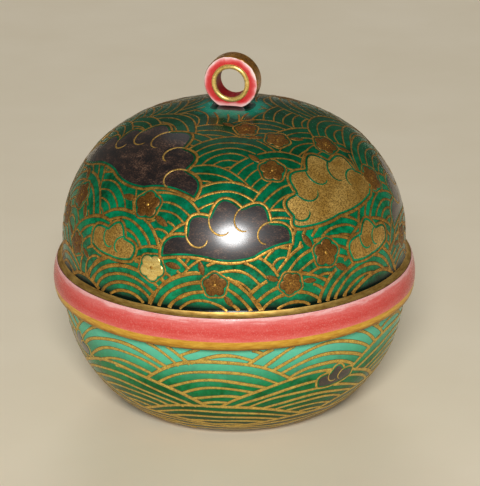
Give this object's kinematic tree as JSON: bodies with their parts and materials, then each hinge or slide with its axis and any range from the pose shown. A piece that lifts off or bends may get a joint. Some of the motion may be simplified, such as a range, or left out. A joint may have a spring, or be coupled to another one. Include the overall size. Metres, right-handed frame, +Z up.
{
  "type": "incense box",
  "caption": "Round lidded ceramic incense box in the shape of a bell: a bowl with a standing lip, and a domed lid with a moulded flange and a ring knob.",
  "frame": {"origin": "middle of the base, on the surface that the box stands on", "axes": "+Z up the box's own axis, with the bore of the ring knob along Y"},
  "size_m": [0.066, 0.066, 0.0645],
  "materials": {
    "green_enamel": "glossy overglaze enamel with painted gold lines",
    "coral_glaze": "glossy translucent glaze",
    "pale_clay": "fine unglazed clay",
    "dark_gold": "burnished dark gold over glaze",
    "bright_gold": "burnished gold over glaze",
    "pooled_glaze": "glossy pooled glaze"
  },
  "bodies": {
    "bowl": {"foot_ring": "pale_clay", "bowl": "green_enamel", "standing_lip": "pale_clay"},
    "lid": {"lid_flange": "coral_glaze", "lid_dome": "green_enamel", "knob_ring": "dark_gold", "knob_bead_front": "bright_gold", "knob_bead_rear": "bright_gold", "knob_fillet": "pooled_glaze"}
  },
  "joints": [
    {"name": "lid_lift", "type": "slide", "parent": "bowl", "child": "lid", "axis": [0, 0, 1], "range_m": [0, 0.05]}
  ]
}
